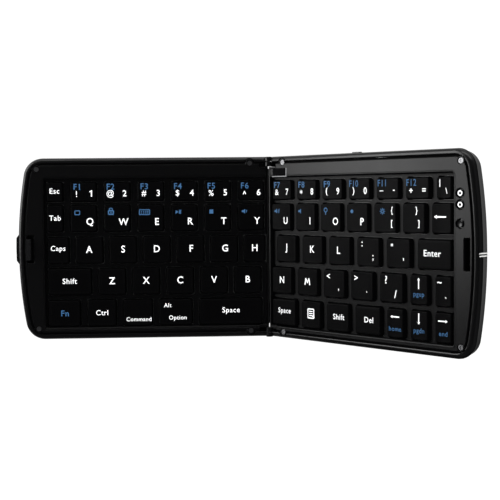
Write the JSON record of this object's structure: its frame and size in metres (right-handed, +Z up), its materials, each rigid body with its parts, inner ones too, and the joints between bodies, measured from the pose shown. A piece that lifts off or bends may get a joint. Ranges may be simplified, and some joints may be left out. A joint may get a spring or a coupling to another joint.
{
  "type": "folding keyboard",
  "caption": "Folding travel keyboard: two hinged halves with sprung keys, a side latch, power switch, connect button and charge socket, shown half open.",
  "frame": {"origin": "centre of the half-open keyboard's bounding box, on the desk under its feet", "axes": "+Z up from the desk and out of the left half's key tops, +Y along the hinge towards the number row, +X towards the raised right half"},
  "size_m": [0.2316, 0.0985, 0.1122],
  "materials": {
    "shell_plastic": "moulded black plastic with a fine satin texture",
    "deck_plastic": "moulded dark grey plastic, satin",
    "lattice_plastic": "moulded dark grey plastic, satin",
    "key_plastic": "moulded black key caps, satin, with printed legends",
    "latch_plastic": "moulded black plastic",
    "control_plastic": "moulded black plastic",
    "membrane_film": "printed polyester film",
    "bed_steel": "zinc-plated steel sheet",
    "dome_rubber": "pale silicone rubber",
    "link_nylon": "natural nylon",
    "foot_rubber": "dark rubber",
    "screw_steel": "blackened steel",
    "battery_foil": "foil pouch",
    "board_resin": "solder-masked circuit board",
    "spring_steel": "spring wire",
    "pin_steel": "plain steel pin",
    "window_plastic": "smoked clear plastic",
    "socket_metal": "plated steel shell",
    "flex_film": "amber polyimide flat cable"
  },
  "bodies": {
    "left_half": {"left_shell": "shell_plastic", "left_deck": "deck_plastic", "left_lattice": "lattice_plastic", "left_membrane": "membrane_film", "left_bed_plate": "bed_steel", "left_domes": "dome_rubber", "left_scissors": "link_nylon", "left_feet": "foot_rubber", "left_screws": "screw_steel", "battery": "battery_foil", "latch_spring": "spring_steel", "hinge_pins": "pin_steel", "hinge_flex": "flex_film"},
    "right_half": {"right_shell": "shell_plastic", "right_deck": "deck_plastic", "right_lattice": "lattice_plastic", "right_membrane": "membrane_film", "right_bed_plate": "bed_steel", "right_domes": "dome_rubber", "right_scissors": "link_nylon", "right_feet": "foot_rubber", "right_screws": "screw_steel", "circuit_board": "board_resin", "status_windows": "window_plastic", "charge_socket": "socket_metal"},
    "latch": {"latch": "latch_plastic"},
    "power_switch": {"power_switch": "control_plastic"},
    "connect_button": {"connect_button": "control_plastic"},
    "key_left_space": {"key_left_space": "key_plastic"},
    "key_right_space": {"key_right_space": "key_plastic"},
    "keys_left_numbers": {"keys_left_numbers": "key_plastic"},
    "keys_right_numbers": {"keys_right_numbers": "key_plastic"},
    "keys_left_edge": {"keys_left_edge": "key_plastic"},
    "keys_right_edge": {"keys_right_edge": "key_plastic"},
    "key_q": {"key_q": "key_plastic"},
    "key_w": {"key_w": "key_plastic"},
    "key_e": {"key_e": "key_plastic"},
    "key_r": {"key_r": "key_plastic"},
    "key_t": {"key_t": "key_plastic"},
    "key_y": {"key_y": "key_plastic"},
    "key_u": {"key_u": "key_plastic"},
    "key_i": {"key_i": "key_plastic"},
    "key_o": {"key_o": "key_plastic"},
    "key_p": {"key_p": "key_plastic"},
    "key_a": {"key_a": "key_plastic"},
    "key_s": {"key_s": "key_plastic"},
    "key_d": {"key_d": "key_plastic"},
    "key_f": {"key_f": "key_plastic"},
    "key_g": {"key_g": "key_plastic"},
    "key_h": {"key_h": "key_plastic"},
    "key_j": {"key_j": "key_plastic"},
    "key_k": {"key_k": "key_plastic"},
    "key_l": {"key_l": "key_plastic"},
    "key_z": {"key_z": "key_plastic"},
    "key_x": {"key_x": "key_plastic"},
    "key_c": {"key_c": "key_plastic"},
    "key_v": {"key_v": "key_plastic"},
    "key_b": {"key_b": "key_plastic"},
    "key_n": {"key_n": "key_plastic"},
    "key_m": {"key_m": "key_plastic"}
  },
  "joints": [
    {"name": "fold", "type": "hinge", "parent": "left_half", "child": "right_half", "pos_m": [0.02086, 0, 0.01095], "axis": [0, -1, 0], "range_deg": [-49, 131], "deforming": ["hinge_flex"]},
    {"name": "latch_press", "type": "slide", "parent": "left_half", "child": "latch", "axis": [1, 0, 0], "range_m": [0, 0.0009], "stiffness_N_per_m": 600, "springref_m": -0.001, "deforming": ["latch_spring"]},
    {"name": "power_switch_slide", "type": "slide", "parent": "right_half", "child": "power_switch", "axis": [0.6561, 0, 0.7547], "range_m": [0, 0.003]},
    {"name": "connect_press", "type": "slide", "parent": "right_half", "child": "connect_button", "axis": [0.7547, 0, -0.6561], "range_m": [0, 0.0004], "stiffness_N_per_m": 1200, "springref_m": -0.0004},
    {"name": "key_left_space_press", "type": "slide", "parent": "left_half", "child": "key_left_space", "axis": [0, 0, -1], "range_m": [0, 0.0016], "stiffness_N_per_m": 330, "springref_m": -0.0006, "deforming": ["left_domes", "left_scissors"]},
    {"name": "key_right_space_press", "type": "slide", "parent": "right_half", "child": "key_right_space", "axis": [0.7547, 0, -0.6561], "range_m": [0, 0.0016], "stiffness_N_per_m": 330, "springref_m": -0.0006, "deforming": ["right_domes", "right_scissors"]},
    {"name": "keys_left_numbers_press", "type": "slide", "parent": "left_half", "child": "keys_left_numbers", "axis": [0, 0, -1], "range_m": [0, 0.0016], "stiffness_N_per_m": 2310, "springref_m": -0.0006, "deforming": ["left_domes", "left_scissors"]},
    {"name": "keys_right_numbers_press", "type": "slide", "parent": "right_half", "child": "keys_right_numbers", "axis": [0.7547, 0, -0.6561], "range_m": [0, 0.0016], "stiffness_N_per_m": 2310, "springref_m": -0.0006, "deforming": ["right_domes", "right_scissors"]},
    {"name": "keys_left_edge_press", "type": "slide", "parent": "left_half", "child": "keys_left_edge", "axis": [0, 0, -1], "range_m": [0, 0.0016], "stiffness_N_per_m": 2310, "springref_m": -0.0006, "deforming": ["left_domes", "left_scissors"]},
    {"name": "keys_right_edge_press", "type": "slide", "parent": "right_half", "child": "keys_right_edge", "axis": [0.7547, 0, -0.6561], "range_m": [0, 0.0016], "stiffness_N_per_m": 5610, "springref_m": -0.0006, "deforming": ["right_domes", "right_scissors"]},
    {"name": "key_q_press", "type": "slide", "parent": "left_half", "child": "key_q", "axis": [0, 0, -1], "range_m": [0, 0.0016], "stiffness_N_per_m": 330, "springref_m": -0.0006, "deforming": ["left_domes", "left_scissors"]},
    {"name": "key_w_press", "type": "slide", "parent": "left_half", "child": "key_w", "axis": [0, 0, -1], "range_m": [0, 0.0016], "stiffness_N_per_m": 330, "springref_m": -0.0006, "deforming": ["left_domes", "left_scissors"]},
    {"name": "key_e_press", "type": "slide", "parent": "left_half", "child": "key_e", "axis": [0, 0, -1], "range_m": [0, 0.0016], "stiffness_N_per_m": 330, "springref_m": -0.0006, "deforming": ["left_domes", "left_scissors"]},
    {"name": "key_r_press", "type": "slide", "parent": "left_half", "child": "key_r", "axis": [0, 0, -1], "range_m": [0, 0.0016], "stiffness_N_per_m": 330, "springref_m": -0.0006, "deforming": ["left_domes", "left_scissors"]},
    {"name": "key_t_press", "type": "slide", "parent": "left_half", "child": "key_t", "axis": [0, 0, -1], "range_m": [0, 0.0016], "stiffness_N_per_m": 330, "springref_m": -0.0006, "deforming": ["left_domes", "left_scissors"]},
    {"name": "key_y_press", "type": "slide", "parent": "left_half", "child": "key_y", "axis": [0, 0, -1], "range_m": [0, 0.0016], "stiffness_N_per_m": 330, "springref_m": -0.0006, "deforming": ["left_domes", "left_scissors"]},
    {"name": "key_u_press", "type": "slide", "parent": "right_half", "child": "key_u", "axis": [0.7547, 0, -0.6561], "range_m": [0, 0.0016], "stiffness_N_per_m": 330, "springref_m": -0.0006, "deforming": ["right_domes", "right_scissors"]},
    {"name": "key_i_press", "type": "slide", "parent": "right_half", "child": "key_i", "axis": [0.7547, 0, -0.6561], "range_m": [0, 0.0016], "stiffness_N_per_m": 330, "springref_m": -0.0006, "deforming": ["right_domes", "right_scissors"]},
    {"name": "key_o_press", "type": "slide", "parent": "right_half", "child": "key_o", "axis": [0.7547, 0, -0.6561], "range_m": [0, 0.0016], "stiffness_N_per_m": 330, "springref_m": -0.0006, "deforming": ["right_domes", "right_scissors"]},
    {"name": "key_p_press", "type": "slide", "parent": "right_half", "child": "key_p", "axis": [0.7547, 0, -0.6561], "range_m": [0, 0.0016], "stiffness_N_per_m": 330, "springref_m": -0.0006, "deforming": ["right_domes", "right_scissors"]},
    {"name": "key_a_press", "type": "slide", "parent": "left_half", "child": "key_a", "axis": [0, 0, -1], "range_m": [0, 0.0016], "stiffness_N_per_m": 330, "springref_m": -0.0006, "deforming": ["left_domes", "left_scissors"]},
    {"name": "key_s_press", "type": "slide", "parent": "left_half", "child": "key_s", "axis": [0, 0, -1], "range_m": [0, 0.0016], "stiffness_N_per_m": 330, "springref_m": -0.0006, "deforming": ["left_domes", "left_scissors"]},
    {"name": "key_d_press", "type": "slide", "parent": "left_half", "child": "key_d", "axis": [0, 0, -1], "range_m": [0, 0.0016], "stiffness_N_per_m": 330, "springref_m": -0.0006, "deforming": ["left_domes", "left_scissors"]},
    {"name": "key_f_press", "type": "slide", "parent": "left_half", "child": "key_f", "axis": [0, 0, -1], "range_m": [0, 0.0016], "stiffness_N_per_m": 330, "springref_m": -0.0006, "deforming": ["left_domes", "left_scissors"]},
    {"name": "key_g_press", "type": "slide", "parent": "left_half", "child": "key_g", "axis": [0, 0, -1], "range_m": [0, 0.0016], "stiffness_N_per_m": 330, "springref_m": -0.0006, "deforming": ["left_domes", "left_scissors"]},
    {"name": "key_h_press", "type": "slide", "parent": "left_half", "child": "key_h", "axis": [0, 0, -1], "range_m": [0, 0.0016], "stiffness_N_per_m": 330, "springref_m": -0.0006, "deforming": ["left_domes", "left_scissors"]},
    {"name": "key_j_press", "type": "slide", "parent": "right_half", "child": "key_j", "axis": [0.7547, 0, -0.6561], "range_m": [0, 0.0016], "stiffness_N_per_m": 330, "springref_m": -0.0006, "deforming": ["right_domes", "right_scissors"]},
    {"name": "key_k_press", "type": "slide", "parent": "right_half", "child": "key_k", "axis": [0.7547, 0, -0.6561], "range_m": [0, 0.0016], "stiffness_N_per_m": 330, "springref_m": -0.0006, "deforming": ["right_domes", "right_scissors"]},
    {"name": "key_l_press", "type": "slide", "parent": "right_half", "child": "key_l", "axis": [0.7547, 0, -0.6561], "range_m": [0, 0.0016], "stiffness_N_per_m": 330, "springref_m": -0.0006, "deforming": ["right_domes", "right_scissors"]},
    {"name": "key_z_press", "type": "slide", "parent": "left_half", "child": "key_z", "axis": [0, 0, -1], "range_m": [0, 0.0016], "stiffness_N_per_m": 330, "springref_m": -0.0006, "deforming": ["left_domes", "left_scissors"]},
    {"name": "key_x_press", "type": "slide", "parent": "left_half", "child": "key_x", "axis": [0, 0, -1], "range_m": [0, 0.0016], "stiffness_N_per_m": 330, "springref_m": -0.0006, "deforming": ["left_domes", "left_scissors"]},
    {"name": "key_c_press", "type": "slide", "parent": "left_half", "child": "key_c", "axis": [0, 0, -1], "range_m": [0, 0.0016], "stiffness_N_per_m": 330, "springref_m": -0.0006, "deforming": ["left_domes", "left_scissors"]},
    {"name": "key_v_press", "type": "slide", "parent": "left_half", "child": "key_v", "axis": [0, 0, -1], "range_m": [0, 0.0016], "stiffness_N_per_m": 330, "springref_m": -0.0006, "deforming": ["left_domes", "left_scissors"]},
    {"name": "key_b_press", "type": "slide", "parent": "left_half", "child": "key_b", "axis": [0, 0, -1], "range_m": [0, 0.0016], "stiffness_N_per_m": 330, "springref_m": -0.0006, "deforming": ["left_domes", "left_scissors"]},
    {"name": "key_n_press", "type": "slide", "parent": "right_half", "child": "key_n", "axis": [0.7547, 0, -0.6561], "range_m": [0, 0.0016], "stiffness_N_per_m": 330, "springref_m": -0.0006, "deforming": ["right_domes", "right_scissors"]},
    {"name": "key_m_press", "type": "slide", "parent": "right_half", "child": "key_m", "axis": [0.7547, 0, -0.6561], "range_m": [0, 0.0016], "stiffness_N_per_m": 330, "springref_m": -0.0006, "deforming": ["right_domes", "right_scissors"]}
  ]
}
